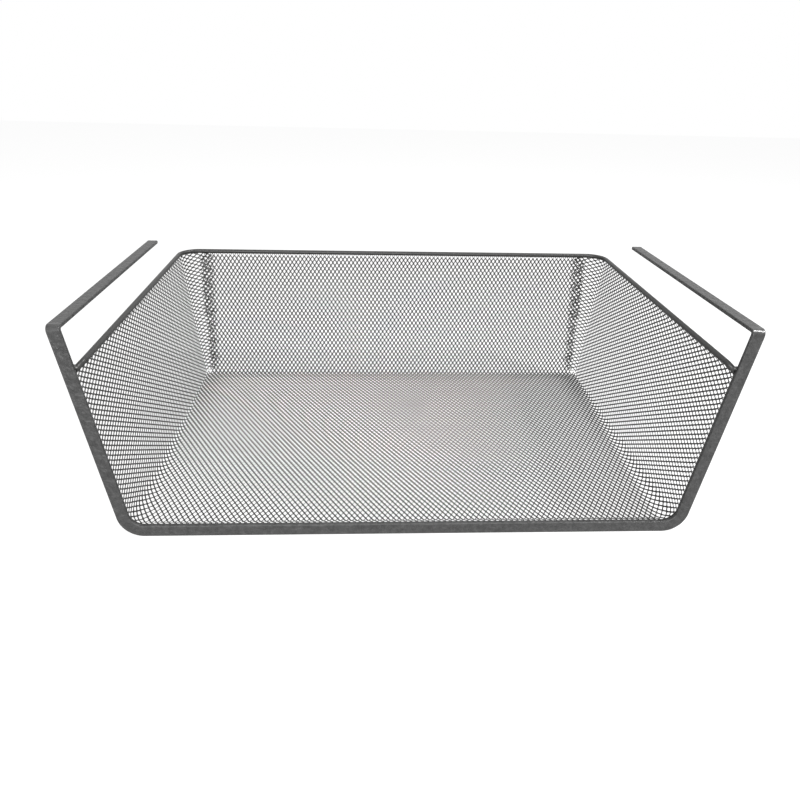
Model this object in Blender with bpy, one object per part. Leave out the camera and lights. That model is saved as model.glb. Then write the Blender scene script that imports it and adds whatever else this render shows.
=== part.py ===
"""Under-shelf basket: a mesh tray held in a hanger frame bent from one flat steel strip.

The two arms lie on top of a shelf board and the tray hangs below it. Everything is
modelled in metres with +X to the right, +Y from the open front to the back wall and
+Z up. Positions are worked out from the front face of the strip (y = 0) and its bottom
edge (z = 0). A parent empty then moves the whole basket so that the origin lies at the
bottom centre of its box.
"""
import math

import bmesh
import bpy
from mathutils import Vector

# Hanger frame: one flat strip bent into two arms, two uprights and a bottom bar
BAR_SPAN = 0.3748  # outer width of the bottom bar
ARM_SPAN = 0.4173  # outer width of the uprights where they reach the arms
FRAME_HEIGHT = 0.146  # bottom edge of the bar to the top face of the arms
ARM_LENGTH = 0.2045  # front face of the strip to the cut end of an arm
STRIP_WIDTH = 0.0080
STRIP_THICKNESS = 0.0025
STRIP_EDGE_RADIUS = 0.0006
STRIP_CORNER_RADIUS = 0.0165  # outer edge of the corner between bar and upright
ARM_BEND_RADIUS = 0.0015  # inside of the bend between upright and arm

# Border rod: one closed loop that carries the edge of the mesh
ROD_RADIUS = 0.0019
ROD_SETBACK = 0.0018  # how far the rod stays behind the inner edge of the strip
RIM_HEIGHT = 0.124  # bottom of the frame to the top of the rim
RIM_INSET = 0.0120  # outer edge of the strip to the middle of the side rim, at the front
BASKET_DEPTH = 0.2675  # front face of the strip to the back of the rim
RIM_CORNER_RADIUS = 0.016
ROD_TURN_RADIUS = 0.0045  # bend where the side rims turn down and out towards the strip
ROD_TUCK_DROP = 0.0065  # height in which the rod passes from the rim to behind the strip
ROD_TUCK_RADIUS = 0.005
SIDE_FLARE = 0.004  # how much wider each side stands at the back than at the front

# Mesh tray
FLOOR_INSET = 0.0079  # outer edge of the strip to the fold between floor and side, at the front
BACK_RAKE = 0.0136  # how far the back wall's foot stands in front of the middle of the rim
FLOOR_CORNER_RADIUS = 0.004  # back corners at the floor; they widen upwards to the rim's
LAP_WIDTH_RIM = 0.012  # overlap of the corner laps on the back wall at the rim
LAP_WIDTH_FLOOR = 0.008
NET_THICKNESS = 0.0010
NET_STRAND = 0.0046  # width of a strand of the coarse net that stands for the mesh
LAP_STRAND = 0.0022  # the same in the narrow corner laps
NET_SHORT_PITCH = 0.034  # short way of its diamonds
NET_LONG_PITCH = 0.055  # long way of its diamonds

# Rolled hem of the mesh over the bottom stretch of the rod
HEM_THICKNESS = 0.0005
HEM_FRONT_ANGLE = math.radians(48)  # from straight forward, up over the rod
HEM_BACK_ANGLE = math.radians(180)

# Weld beads between strip and rod
BEAD_RADIUS = 0.0009
BEAD_LENGTH = 0.010
BEADS_ON_BAR = 3
JOINT_BEAD_SIZE = (0.0044, 0.0022, 0.0026)  # the bead that fills the notch at each rim end
NOTCH_SHARE = 0.45  # where that bead sits along the rod's way from the rim to the strip

FIT_GAP = 0.0003  # clearance between pieces that touch on the real basket

CORNER_STEPS = 10
BEND_STEPS = 8
EDGE_STEPS = 3
ROD_SIDES_RESOLUTION = 2

# Worked out from the sizes above
LEAN = math.atan((ARM_SPAN - BAR_SPAN) / 2 / FRAME_HEIGHT)
ROD_INSET = STRIP_WIDTH - ROD_SETBACK - ROD_RADIUS
ROD_Y = STRIP_THICKNESS + FIT_GAP + ROD_RADIUS
RIM_Z = RIM_HEIGHT - ROD_RADIUS
RIM_BACK_Y = BASKET_DEPTH - ROD_RADIUS
FLOOR_Z = ROD_INSET
FLOOR_DEPTH = RIM_BACK_Y - BACK_RAKE  # front face of the strip to the fold under the back wall
FLARE_SLOPE = SIDE_FLARE / (RIM_BACK_Y - ROD_Y)
LAP_STEP = NET_THICKNESS + FIT_GAP
ROD_CLEAR = ROD_RADIUS + FIT_GAP
HEM_OUTER = ROD_RADIUS + FIT_GAP + HEM_THICKNESS


def clear_scene():
    """Remove every object, so that the part starts from an empty scene."""
    for item in list(bpy.data.objects):
        bpy.data.objects.remove(item, do_unlink=True)


def painted_metal(name, colour, roughness):
    """Return a grey metallic paint with a linear base colour."""
    material = bpy.data.materials.new(name)
    material.use_nodes = True
    shader = material.node_tree.nodes["Principled BSDF"]
    shader.inputs["Base Color"].default_value = (*colour, 1.0)
    shader.inputs["Metallic"].default_value = 0.6
    shader.inputs["Roughness"].default_value = roughness
    return material


def add_object(name, data, material, parent):
    """Link an object that holds the data under the parent, with its one material."""
    data.materials.append(material)
    item = bpy.data.objects.new(name, data)
    bpy.context.scene.collection.objects.link(item)
    item.parent = parent
    return item


def mesh_from(name, bm, smooth=True):
    """Turn a bmesh into mesh data, shaded smooth or flat."""
    for face in bm.faces:
        face.smooth = smooth
    data = bpy.data.meshes.new(name)
    bm.to_mesh(data)
    bm.free()
    return data


def mirrored(point):
    """Return the point on the other side of the basket's middle plane."""
    return Vector((-point.x, point.y, point.z))


def upright_x(z, inset):
    """Return x at a height on the line that runs inset from the strip's outer edge."""
    return BAR_SPAN / 2 + z * math.tan(LEAN) - inset / math.cos(LEAN)


def side_x(y, z):
    """Return x of the right side wall, which leans out and widens towards the back."""
    low = upright_x(FLOOR_Z, 0) - FLOOR_INSET
    high = upright_x(RIM_Z, 0) - RIM_INSET
    return low + (high - low) * (z - FLOOR_Z) / (RIM_Z - FLOOR_Z) + FLARE_SLOPE * (y - ROD_Y)


def back_y(z):
    """Return y of the back wall, which leans back from the floor's fold to the rim."""
    share = (z - FLOOR_Z) / (RIM_Z - FLOOR_Z)
    return FLOOR_DEPTH + BACK_RAKE * share


def rounded_rectangle(width, thickness, radius, steps):
    """Return the outline of a rectangle with rounded corners, centred on zero."""
    outline = []
    for index, (side, face) in enumerate(((1, 1), (-1, 1), (-1, -1), (1, -1))):
        centre_s = side * (width / 2 - radius)
        centre_t = face * (thickness / 2 - radius)
        for step in range(steps + 1):
            angle = math.radians(90) * (index + step / steps)
            outline.append((centre_s + radius * math.cos(angle), centre_t + radius * math.sin(angle)))
    return outline


def sweep(name, stations, outline):
    """Sweep an outline along stations of (centre, width direction, face direction)."""
    bm = bmesh.new()
    rings = []
    for centre, across, facing in stations:
        rings.append([bm.verts.new(centre + across * s + facing * t) for s, t in outline])
    for ring, following in zip(rings, rings[1:]):
        for index in range(len(outline)):
            after = (index + 1) % len(outline)
            bm.faces.new((ring[index], ring[after], following[after], following[index]))
    ends = [bm.faces.new(rings[0]), bm.faces.new(reversed(rings[-1]))]
    bmesh.ops.recalc_face_normals(bm, faces=bm.faces)
    data = mesh_from(name, bm)
    for end in range(len(ends)):
        data.polygons[len(data.polygons) - 1 - end].use_smooth = False
    return data


def strip_stations():
    """Return the stations of the right half of the strip, from the bar to the arm's end."""
    stations = []
    corner = Vector((upright_x(STRIP_CORNER_RADIUS, STRIP_CORNER_RADIUS), 0, STRIP_CORNER_RADIUS))
    corner.y = STRIP_THICKNESS / 2
    forward = Vector((0, -1, 0))
    for step in range(CORNER_STEPS + 1):
        angle = (math.radians(90) - LEAN) * step / CORNER_STEPS
        outward = Vector((math.sin(angle), 0, -math.cos(angle)))
        centre = corner + outward * (STRIP_CORNER_RADIUS - STRIP_WIDTH / 2)
        stations.append((centre, outward, forward))
    bend = ARM_BEND_RADIUS + STRIP_THICKNESS / 2
    start_z = FRAME_HEIGHT - STRIP_THICKNESS / 2 - bend * math.cos(LEAN)
    start = Vector((upright_x(start_z, STRIP_WIDTH / 2), STRIP_THICKNESS / 2, start_z))
    rise = Vector((math.sin(LEAN), 0, math.cos(LEAN)))
    backward = Vector((0, 1, 0))
    for step in range(BEND_STEPS + 1):
        turn = math.radians(90) * step / BEND_STEPS
        roll = LEAN * (1 - step / BEND_STEPS)  # the arm ends up level, flat on the shelf
        centre = start + backward * bend * (1 - math.cos(turn)) + rise * bend * math.sin(turn)
        across = Vector((math.cos(roll), 0, -math.sin(roll)))
        top = Vector((math.sin(roll), 0, math.cos(roll)))
        stations.append((centre, across, forward * math.cos(turn) + top * math.sin(turn)))
    tip = stations[-1][0].copy()
    tip.y = ARM_LENGTH
    stations.append((tip, stations[-1][1], stations[-1][2]))
    return stations


def make_hanger_frame(material, parent):
    """Build the strip: left arm, left upright, bottom bar, right upright and right arm."""
    right = strip_stations()
    left = [(mirrored(centre), mirrored(across), facing) for centre, across, facing in reversed(right)]
    outline = rounded_rectangle(STRIP_WIDTH, STRIP_THICKNESS, STRIP_EDGE_RADIUS, EDGE_STEPS)
    return add_object("hanger_frame", sweep("hanger_frame", left + right, outline), material, parent)


def rounded_loop(points, radii, steps):
    """Return the points of a closed path whose corners are arcs of the given radii."""
    path = []
    for index, (corner, radius) in enumerate(zip(points, radii)):
        arriving = (points[index - 1] - corner).normalized()
        leaving = (points[(index + 1) % len(points)] - corner).normalized()
        half = arriving.angle(leaving) / 2
        centre = corner + (arriving + leaving).normalized() * radius / math.sin(half)
        first = corner + arriving * radius / math.tan(half) - centre
        last = corner + leaving * radius / math.tan(half) - centre
        sweep_angle = first.angle(last)
        for step in range(steps + 1):
            share = step / steps
            near = math.sin((1 - share) * sweep_angle) / math.sin(sweep_angle)
            far = math.sin(share * sweep_angle) / math.sin(sweep_angle)
            path.append(centre + first * near + last * far)
    return path


def rod_corners():
    """Return the right-hand sharp corners of the rod's centre line and their radii."""
    tuck_z = RIM_Z - ROD_TUCK_DROP
    bottom = Vector((upright_x(FLOOR_Z, ROD_INSET), ROD_Y, FLOOR_Z))
    tuck = Vector((upright_x(tuck_z, ROD_INSET), ROD_Y, tuck_z))
    turn = Vector((side_x(ROD_Y, RIM_Z), ROD_Y, RIM_Z))
    back = Vector((side_x(RIM_BACK_Y, RIM_Z), RIM_BACK_Y, RIM_Z))
    radii = [STRIP_CORNER_RADIUS - ROD_INSET, ROD_TUCK_RADIUS, ROD_TURN_RADIUS, RIM_CORNER_RADIUS]
    return [bottom, tuck, turn, back], radii


def make_border_rod(material, parent):
    """Build the rod: the rim on three sides and the loop behind the strip, as one ring."""
    right, radii = rod_corners()
    points = right + [mirrored(point) for point in reversed(right)]
    path = rounded_loop(points, radii + radii[::-1], CORNER_STEPS)
    curve = bpy.data.curves.new("border_rod", "CURVE")
    curve.dimensions = "3D"
    curve.bevel_depth = ROD_RADIUS
    curve.bevel_resolution = ROD_SIDES_RESOLUTION
    spline = curve.splines.new("POLY")
    spline.points.add(len(path) - 1)
    for target, point in zip(spline.points, path):
        target.co = (*point, 1.0)
    spline.use_cyclic_u = True
    return add_object("border_rod", curve, material, parent)


def make_net(name, surface, columns, rows, strand, material, parent):
    """Build a net of diamond gaps on a surface, a function of two shares from 0 to 1.

    The surface is tiled with diamonds, and half diamonds along its edges. Each tile is
    inset by half a strand and its middle taken out, which leaves the strands.
    """
    columns = 2 * max(1, columns)
    rows = 2 * max(1, rows)
    bm = bmesh.new()
    knots = {}
    for i in range(columns + 1):
        for j in range(rows + 1):
            if (i + j) % 2 == 0:
                knots[i, j] = bm.verts.new(surface(i / columns, j / rows))
    tiles = []
    for i in range(columns + 1):
        for j in range(rows + 1):
            if (i + j) % 2 == 1:
                around = [(i + 1, j), (i, j + 1), (i - 1, j), (i, j - 1)]
                tiles.append(bm.faces.new([knots[place] for place in around if place in knots]))
    bm.normal_update()
    bmesh.ops.inset_individual(bm, faces=tiles, thickness=strand / 2, use_even_offset=True)
    bmesh.ops.delete(bm, geom=tiles, context="FACES")
    bmesh.ops.recalc_face_normals(bm, faces=bm.faces)
    net = add_object(name, mesh_from(name, bm, smooth=False), material, parent)
    sheet = net.modifiers.new("Sheet thickness", "SOLIDIFY")
    sheet.thickness = NET_THICKNESS
    sheet.offset = 0
    return net


def between(start, end, share):
    """Return the point that lies a share of the way from start to end."""
    return start + (end - start) * share


def four_cornered(low_start, low_end, high_start, high_end):
    """Return a surface that spans four corner points."""

    def surface(along, up):
        return between(between(low_start, low_end, along), between(high_start, high_end, along), up)

    return surface


def gaps_along(length, pitch):
    """Return how many whole diamonds fit a length best."""
    return round(length / pitch)


def wall_levels():
    """Return the lowest and highest z of the walls' mesh."""
    return FLOOR_Z + NET_THICKNESS + FIT_GAP, RIM_Z - ROD_CLEAR


def corner_radius(z):
    """Return the radius of a back corner at a height: it widens like a cone."""
    share = (z - FLOOR_Z) / (RIM_Z - FLOOR_Z)
    return FLOOR_CORNER_RADIUS + (RIM_CORNER_RADIUS - FLOOR_CORNER_RADIUS) * share


def lap_width(z):
    """Return how far a corner lap reaches onto the back wall at a height."""
    share = (z - FLOOR_Z) / (RIM_Z - FLOOR_Z)
    return LAP_WIDTH_FLOOR + (LAP_WIDTH_RIM - LAP_WIDTH_FLOOR) * share


def make_floor(material, parent):
    """Build the floor from behind the hem to the back fold, out to the side folds."""
    front = ROD_Y + HEM_OUTER + FIT_GAP
    back = back_y(FLOOR_Z) + NET_THICKNESS / 2
    edge = NET_THICKNESS / 2
    right_front = Vector((side_x(front, FLOOR_Z) + edge, front, FLOOR_Z))
    right_back = Vector((side_x(back, FLOOR_Z) + edge, back, FLOOR_Z))
    surface = four_cornered(mirrored(right_front), right_front, mirrored(right_back), right_back)
    columns = gaps_along(2 * right_front.x, NET_SHORT_PITCH)
    rows = gaps_along(back - front, NET_LONG_PITCH)
    return make_net("mesh_floor", surface, columns, rows, NET_STRAND, material, parent)


def make_back_wall(material, parent):
    """Build the back wall between the two conical corners."""
    low, high = wall_levels()
    corners = []
    for z in (low, high):
        y = back_y(z)
        right = Vector((side_x(y, z) - corner_radius(z), y, z))
        corners += [mirrored(right), right]
    columns = gaps_along(2 * corners[1].x, NET_SHORT_PITCH)
    rows = gaps_along(high - low, NET_LONG_PITCH)
    return make_net("mesh_back_wall", four_cornered(*corners), columns, rows, NET_STRAND, material, parent)


def make_side_wall(name, place, material, parent):
    """Build one side wall, from behind the rod at the front to the conical corner."""
    low, high = wall_levels()
    in_turn = ROD_CLEAR + (ROD_TURN_RADIUS - ROD_CLEAR) * (1 - math.cos(math.radians(45)))
    edges = []
    for z in (low, high):
        back = back_y(z) + LAP_STEP - corner_radius(z) - FIT_GAP
        edges.append((ROD_Y + ROD_CLEAR, z, back))
    edges[1] = (ROD_Y + in_turn, RIM_Z - in_turn, edges[1][2])  # clear of the rod's bend
    corners = []
    for (front, front_z, back), back_z in zip(edges, (low, high)):
        corners.append(place(Vector((side_x(front, front_z), front, front_z))))
        corners.append(place(Vector((side_x(back, back_z), back, back_z))))
    columns = gaps_along(FLOOR_DEPTH, NET_LONG_PITCH)
    rows = gaps_along(high - low, NET_SHORT_PITCH)
    return make_net(name, four_cornered(*corners), columns, rows, NET_STRAND, material, parent)


def make_corner_lap(name, place, material, parent):
    """Build one back corner: a conical bend whose flap lies behind the back wall."""
    low, high = wall_levels()

    def surface(along, up):
        z = low + (high - low) * up
        radius = corner_radius(z)
        plane_y = back_y(z) + LAP_STEP
        angle = math.radians(90) * min(1, 2 * along)  # the bend takes the first half
        x = side_x(plane_y, z) - radius + radius * math.cos(angle)
        x -= lap_width(z) * max(0, 2 * along - 1)
        return place(Vector((x, plane_y - radius + radius * math.sin(angle), z)))

    rows = gaps_along(high - low, NET_SHORT_PITCH)
    return make_net(name, surface, 2, rows, LAP_STRAND, material, parent)


def make_front_hem(material, parent):
    """Build the rolled hem: the mesh's front edge wrapped over the bottom of the rod."""
    angles = [HEM_FRONT_ANGLE + (HEM_BACK_ANGLE - HEM_FRONT_ANGLE) * step / BEND_STEPS
              for step in range(BEND_STEPS + 1)]
    inner = ROD_RADIUS + FIT_GAP
    outline = [(-inner * math.cos(a), inner * math.sin(a)) for a in angles]
    outline += [(-HEM_OUTER * math.cos(a), HEM_OUTER * math.sin(a)) for a in reversed(angles)]
    radius = STRIP_CORNER_RADIUS - ROD_INSET
    corner_x = upright_x(FLOOR_Z, ROD_INSET)
    reach = corner_x - radius * math.tan((math.radians(90) - LEAN) / 2)
    backward = Vector((0, 1, 0))
    upward = Vector((0, 0, 1))
    ends = [(Vector((x, ROD_Y, FLOOR_Z)), backward, upward) for x in (-reach, reach)]
    return add_object("front_hem", sweep("front_hem", ends, outline), material, parent)


def make_bead(name, centre, size, axis, material, parent):
    """Build one rounded bead of a length, width and height, its length along the axis."""
    bm = bmesh.new()
    bmesh.ops.create_uvsphere(bm, u_segments=12, v_segments=8, radius=0.5)
    turn = Vector((0, 0, 1)).rotation_difference(axis)
    for vert in bm.verts:
        point = Vector((vert.co.x * size[1], vert.co.y * size[2], vert.co.z * size[0]))
        vert.co = turn @ point
    bead = add_object(name, mesh_from(name, bm), material, parent)
    bead.location = centre
    return bead


def make_weld_beads(material, parent):
    """Build the welds that join rod and strip, all in the notch between the two."""
    reach = ROD_CLEAR + BEAD_RADIUS
    bead_y = STRIP_THICKNESS + FIT_GAP + BEAD_RADIUS
    inset = ROD_INSET - math.sqrt(reach ** 2 - (ROD_Y - bead_y) ** 2)
    size = (BEAD_LENGTH, 2 * BEAD_RADIUS, 2 * BEAD_RADIUS)
    sideways = Vector((1, 0, 0))
    for index in range(BEADS_ON_BAR):
        x = BAR_SPAN * ((index + 1) / (BEADS_ON_BAR + 1) - 0.5)
        centre = Vector((x, bead_y, inset))
        make_bead(f"weld_bar_{index + 1}", centre, size, sideways, material, parent)
    middle_z = (FLOOR_Z + RIM_Z) / 2
    on_upright = Vector((upright_x(middle_z, inset), bead_y, middle_z))
    rise = Vector((math.sin(LEAN), 0, math.cos(LEAN)))
    tuck, turn = rod_corners()[0][1:3]
    down = (tuck - turn).normalized()
    outward = Vector((-down.z, 0, down.x))
    in_notch = between(turn, tuck, NOTCH_SHARE) + outward * (ROD_CLEAR + JOINT_BEAD_SIZE[2] / 2)
    for side, place in (("left", mirrored), ("right", Vector.copy)):
        make_bead(f"weld_upright_{side}", place(on_upright), size, place(rise), material, parent)
        make_bead(f"weld_rim_{side}", place(in_notch), JOINT_BEAD_SIZE, place(down), material, parent)


def main():
    clear_scene()
    parent = bpy.data.objects.new("basket_origin", None)
    parent.location = (0, -BASKET_DEPTH / 2, 0)
    bpy.context.scene.collection.objects.link(parent)
    frame_paint = painted_metal("frame_paint", (0.112, 0.112, 0.108), 0.42)
    mesh_paint = painted_metal("mesh_paint", (0.100, 0.100, 0.097), 0.48)
    make_hanger_frame(frame_paint, parent)
    make_border_rod(painted_metal("rod_paint", (0.112, 0.112, 0.108), 0.42), parent)
    make_floor(mesh_paint, parent)
    make_back_wall(mesh_paint, parent)
    make_side_wall("mesh_left_wall", mirrored, mesh_paint, parent)
    make_side_wall("mesh_right_wall", Vector.copy, mesh_paint, parent)
    make_corner_lap("corner_lap_left", mirrored, mesh_paint, parent)
    make_corner_lap("corner_lap_right", Vector.copy, mesh_paint, parent)
    make_front_hem(mesh_paint, parent)
    make_weld_beads(painted_metal("weld_paint", (0.105, 0.105, 0.102), 0.5), parent)


main()
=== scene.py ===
# %% [markdown]
# # Under-shelf basket in painted steel
#
# The basket hangs under a shelf board: two flat arms lie on the board, and a tray of expanded
# metal hangs below it, open towards the front. The CAD model already fixes every size and
# place. This lesson dresses it: the strip and the rod get rounder surfaces, the coarse nets of
# the CAD model give way to a mesh as fine as the real one, and everything gets its paint.

import math

import bpy
import numpy as np
from mathutils import Euler, Matrix, Vector


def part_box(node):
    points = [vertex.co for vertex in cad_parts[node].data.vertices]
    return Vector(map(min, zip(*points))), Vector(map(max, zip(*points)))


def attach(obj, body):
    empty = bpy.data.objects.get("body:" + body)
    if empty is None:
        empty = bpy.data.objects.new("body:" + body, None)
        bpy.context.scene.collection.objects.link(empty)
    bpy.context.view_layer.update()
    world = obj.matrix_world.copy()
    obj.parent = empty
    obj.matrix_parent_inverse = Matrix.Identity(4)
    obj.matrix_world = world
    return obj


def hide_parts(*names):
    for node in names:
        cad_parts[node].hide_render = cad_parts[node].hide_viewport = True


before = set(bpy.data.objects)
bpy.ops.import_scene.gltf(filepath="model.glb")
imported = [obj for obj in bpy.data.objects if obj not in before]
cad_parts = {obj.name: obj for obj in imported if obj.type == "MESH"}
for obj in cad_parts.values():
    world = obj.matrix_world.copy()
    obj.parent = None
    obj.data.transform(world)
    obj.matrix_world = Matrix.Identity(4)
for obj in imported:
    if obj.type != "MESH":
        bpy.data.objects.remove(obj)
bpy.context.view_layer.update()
FRONT_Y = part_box("hanger_frame")[0].y * 1000  # front face of the strip, in millimetres

# %% [markdown]
# ## The sizes
#
# All lengths below are in millimetres, measured from the front face of the strip (y = 0) and
# from its bottom edge (z = 0), with x = 0 in the middle. They are the same numbers that the CAD
# model was built from. Keeping them in one cell makes it easy to see what depends on what.

# %% Sizes of the strip, the rod and the tray
BAR_SPAN = 374.8  # outer width of the bottom bar
ARM_SPAN = 417.3  # outer width where the uprights reach the arms
FRAME_HEIGHT = 146.0
ARM_LENGTH = 204.5
STRIP_WIDTH = 8.0
STRIP_THICKNESS = 2.5
STRIP_EDGE_RADIUS = 0.6
STRIP_CORNER_RADIUS = 16.5  # outer edge of the two lower corners
ARM_BEND_RADIUS = 1.5  # inner face of the two top bends
ROD_RADIUS = 1.9
ROD_INSET = 4.3  # outer edge of the strip to the middle of the rod behind it
ROD_Y = 4.7  # front face of the strip to the middle of the rod behind it
RIM_Z = 122.1  # middle of the rod along the rim
RIM_INSET = 12.0  # outer edge of the strip to the middle of the rim beside it
RIM_BACK_Y = 265.6  # middle of the rod along the back
RIM_CORNER_RADIUS = 16.0
ROD_TURN_RADIUS = 4.5  # where the side rims turn down behind the strip
ROD_TUCK_DROP = 6.5  # the rod reaches the strip this far below the rim
ROD_TUCK_RADIUS = 5.0
SIDE_FLARE = 4.0  # each side rim runs out by this much from the front to the back
FLOOR_INSET = 7.9  # outer edge of the strip to the fold between the floor and a side wall
FLOOR_Z = 4.3
BACK_RAKE = 13.6  # the back wall leans back by this much up to the rim
FLOOR_CORNER_RADIUS = 4.0  # back corner at the height of the floor
LAP_WIDTH_RIM = 12.0
LAP_WIDTH_FLOOR = 8.0
LAP_STEP = 1.3  # the laps lie this far behind the back wall

FLOOR_DEPTH = RIM_BACK_Y - BACK_RAKE
WALL_RISE = RIM_Z - FLOOR_Z
LEAN = math.atan((ARM_SPAN - BAR_SPAN) / 2 / FRAME_HEIGHT)
FLARE_SLOPE = SIDE_FLARE / (RIM_BACK_Y - ROD_Y)
print("uprights lean out by", round(math.degrees(LEAN), 2), "degrees")


# %% [markdown]
# ## Lines that several pieces share
#
# The uprights lean outwards, the side walls lean with them, and the back wall leans back. Three
# short functions say where these lines run. They take whole arrays, so the same function serves
# one bend of the rod and the hundreds of thousands of points of the mesh.


# %% Where the uprights, the side walls and the back wall run
def upright_x(z, inset):
    """x = half the bar + z times the lean's tangent - inset measured square to the edge."""
    return BAR_SPAN / 2 + z * math.tan(LEAN) - inset / math.cos(LEAN)


SIDE_LOW = upright_x(FLOOR_Z, 0) - FLOOR_INSET
SIDE_HIGH = upright_x(RIM_Z, 0) - RIM_INSET
SIDE_SLOPE = (SIDE_HIGH - SIDE_LOW) / WALL_RISE


def side_x(y, z):
    """x = the fold's place + slope times the height above it + flare times the depth."""
    return SIDE_LOW + SIDE_SLOPE * (z - FLOOR_Z) + FLARE_SLOPE * (y - ROD_Y)


def back_y(z):
    """y = the floor's depth + the rake's share of the height above the floor."""
    return FLOOR_DEPTH + BACK_RAKE * (z - FLOOR_Z) / WALL_RISE


print("side fold at x", round(SIDE_LOW, 2), "rim at x", round(SIDE_HIGH, 2))

# %% [markdown]
# ## Putting points into Blender
#
# Each surface here is worked out as numpy arrays of points and faces. Blender can take such
# arrays in one go with `foreach_set`, which is far quicker than adding vertices one at a time.
# A finished piece stays at the origin, because its place is in its points.


# %% Helpers for meshes
def to_frame(points):
    """Millimetres from the strip's front face become metres in the frame of the CAD model."""
    return (np.asarray(points) + [0.0, FRONT_Y, 0.0]) * 0.001


def add_piece(name, points, face_groups, material, smooth=True):
    """Make an object from points and from arrays of faces, one array per number of corners."""
    mesh = bpy.data.meshes.new(name)
    corners = np.concatenate([group.ravel() for group in face_groups])
    counts = np.concatenate([np.full(len(group), group.shape[1]) for group in face_groups])
    mesh.vertices.add(len(points))
    mesh.vertices.foreach_set("co", to_frame(points).ravel())
    mesh.loops.add(len(corners))
    mesh.loops.foreach_set("vertex_index", corners.astype(np.int32))
    mesh.polygons.add(len(counts))
    mesh.polygons.foreach_set("loop_start", (np.cumsum(counts) - counts).astype(np.int32))
    mesh.polygons.foreach_set("use_smooth", np.full(len(counts), smooth))
    mesh.update(calc_edges=True)
    mesh.validate()
    mesh.materials.append(material)
    piece = bpy.data.objects.new(name, mesh)
    bpy.context.scene.collection.objects.link(piece)
    print(name, len(points), "points,", len(counts), "faces")
    return piece


def grid_quads(rows, columns, close_rows=False):
    """Quads between neighbouring rows of a grid whose columns run round and meet again.

    Point (r, c) has number r * columns + c. Each quad joins (r, c), (r, c + 1), (r + 1, c + 1)
    and (r + 1, c), with the column after the last one being the first.
    """
    r = np.arange(rows if close_rows else rows - 1)[:, None]
    c = np.arange(columns)[None, :]
    after_r = (r + 1) % rows
    after_c = (c + 1) % columns
    row = r * columns
    next_row = after_r * columns
    quads = [row + c, row + after_c, next_row + after_c, next_row + c]
    return np.stack(np.broadcast_arrays(*quads), axis=-1).reshape(-1, 4)


# %% [markdown]
# ## Paint
#
# The whole basket wears one dark grey powder coat on steel. Powder is sprayed on dry and then
# melted, so it flows into a thin satin skin with a faint orange-peel ripple, and it carries
# metal flakes that make the grey sparkle a little. The eye sees that as a grey that is never
# quite even and as highlights with soft, slightly broken edges.
#
# The real ripple is about a millimetre across and a few hundredths deep, and the flakes are
# finer still. At the size of the picture they would hardly show, so the flakes are drawn
# coarser, and on the strip and the rod the ripple too. The same function mixes a coat for each
# kind of piece, because the strip is wide enough to show its mottling, while the strands of
# the mesh show little more than their colour and gloss.


# %% Colours and nodes
def linear(hex_colour):
    """sRGB hex to linear: below 0.04045 divide by 12.92, else ((c + 0.055) / 1.055) ** 2.4."""
    channels = [int(hex_colour[i : i + 2], 16) / 255 for i in (1, 3, 5)]
    return [c / 12.92 if c <= 0.04045 else ((c + 0.055) / 1.055) ** 2.4 for c in channels] + [1.0]


def add_node(tree, kind, inputs=(), **settings):
    """Add a node, set its settings, and fill or link its inputs, given as name and value."""
    node = tree.nodes.new(kind)
    for name, value in settings.items():
        setattr(node, name, value)
    for name, value in dict(inputs).items():
        if isinstance(value, bpy.types.NodeSocket):
            tree.links.new(value, node.inputs[name])
        else:
            node.inputs[name].default_value = value
    return node


# %% Powder coat
FLAKE_MM = 0.45  # real flakes are far finer; they are drawn this coarse so that they show
DULLER = 0.06  # the dull patches of a coat are rougher than the coat by this much
SHINIER = 0.05  # and its shiny patches are smoother by this much


def powder_coat(name, dark_hex, light_hex, roughness, ripple_mm, ripple_height_mm, patch_mm):
    """Two greys mixed by soft patches and fine flakes, with an orange-peel ripple as bump.

    A noise of scale s has features about 1 / s metres across, so each scale is 1000 over the
    size in millimetres. Two noises add up to about 1, give or take 0.3, and that span becomes
    the share of the light grey.
    """
    material = bpy.data.materials.new(name)
    material.use_nodes = True
    tree = material.node_tree
    shader = tree.nodes["Principled BSDF"]
    place = add_node(tree, "ShaderNodeTexCoord").outputs["Object"]
    patches = add_node(
        tree, "ShaderNodeTexNoise", {"Vector": place, "Scale": 1000 / patch_mm, "Detail": 3.0}
    )
    flakes = add_node(
        tree, "ShaderNodeTexNoise", {"Vector": place, "Scale": 1000 / FLAKE_MM, "Detail": 2.0}
    )
    both = add_node(
        tree,
        "ShaderNodeMath",
        {0: patches.outputs["Fac"], 1: flakes.outputs["Fac"]},
        operation="ADD",
    )
    share = add_node(
        tree,
        "ShaderNodeMapRange",
        {"Value": both.outputs[0], "From Min": 0.7, "From Max": 1.3, "To Min": 0.0, "To Max": 1.0},
    )
    grey = add_node(
        tree,
        "ShaderNodeMix",
        {0: share.outputs[0], 6: linear(dark_hex), 7: linear(light_hex)},
        data_type="RGBA",
    )
    tree.links.new(grey.outputs[2], shader.inputs["Base Color"])
    gloss = add_node(
        tree,
        "ShaderNodeMapRange",
        {
            "Value": patches.outputs["Fac"],
            "From Min": 0.3,
            "From Max": 0.7,
            "To Min": roughness - SHINIER,
            "To Max": roughness + DULLER,
        },
    )
    tree.links.new(gloss.outputs[0], shader.inputs["Roughness"])
    ripple = add_node(
        tree, "ShaderNodeTexNoise", {"Vector": place, "Scale": 1000 / ripple_mm, "Detail": 1.5}
    )
    bump = add_node(
        tree,
        "ShaderNodeBump",
        {"Height": ripple.outputs["Fac"], "Strength": 1.0, "Distance": ripple_height_mm * 0.001},
    )
    tree.links.new(bump.outputs["Normal"], shader.inputs["Normal"])
    shader.inputs["Metallic"].default_value = 0.0
    shader.inputs["IOR"].default_value = 1.5
    return material


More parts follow.
